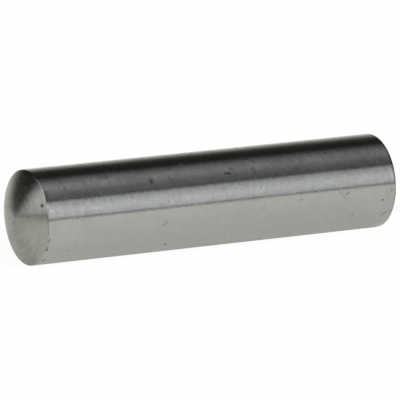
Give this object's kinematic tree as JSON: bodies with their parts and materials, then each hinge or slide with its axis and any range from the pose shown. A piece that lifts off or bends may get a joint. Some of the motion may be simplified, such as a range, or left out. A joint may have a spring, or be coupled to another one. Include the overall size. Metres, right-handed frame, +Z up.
{
  "type": "dowel pin",
  "caption": "Solid parallel dowel pin of ground steel with a shallow dome on each end, to locate two parts that share a reamed hole.",
  "frame": {"origin": "middle of the pin, on its axis", "axes": "+X along the pin's axis, +Z up with the pin lying on its side"},
  "size_m": [0.022, 0.005, 0.005],
  "materials": {
    "ground_steel": "plain hardened steel, fine ground satin shank and turned domes, with small pits and handling nicks"
  },
  "bodies": {
    "root": {"dowel_pin": "ground_steel"}
  },
  "joints": []
}
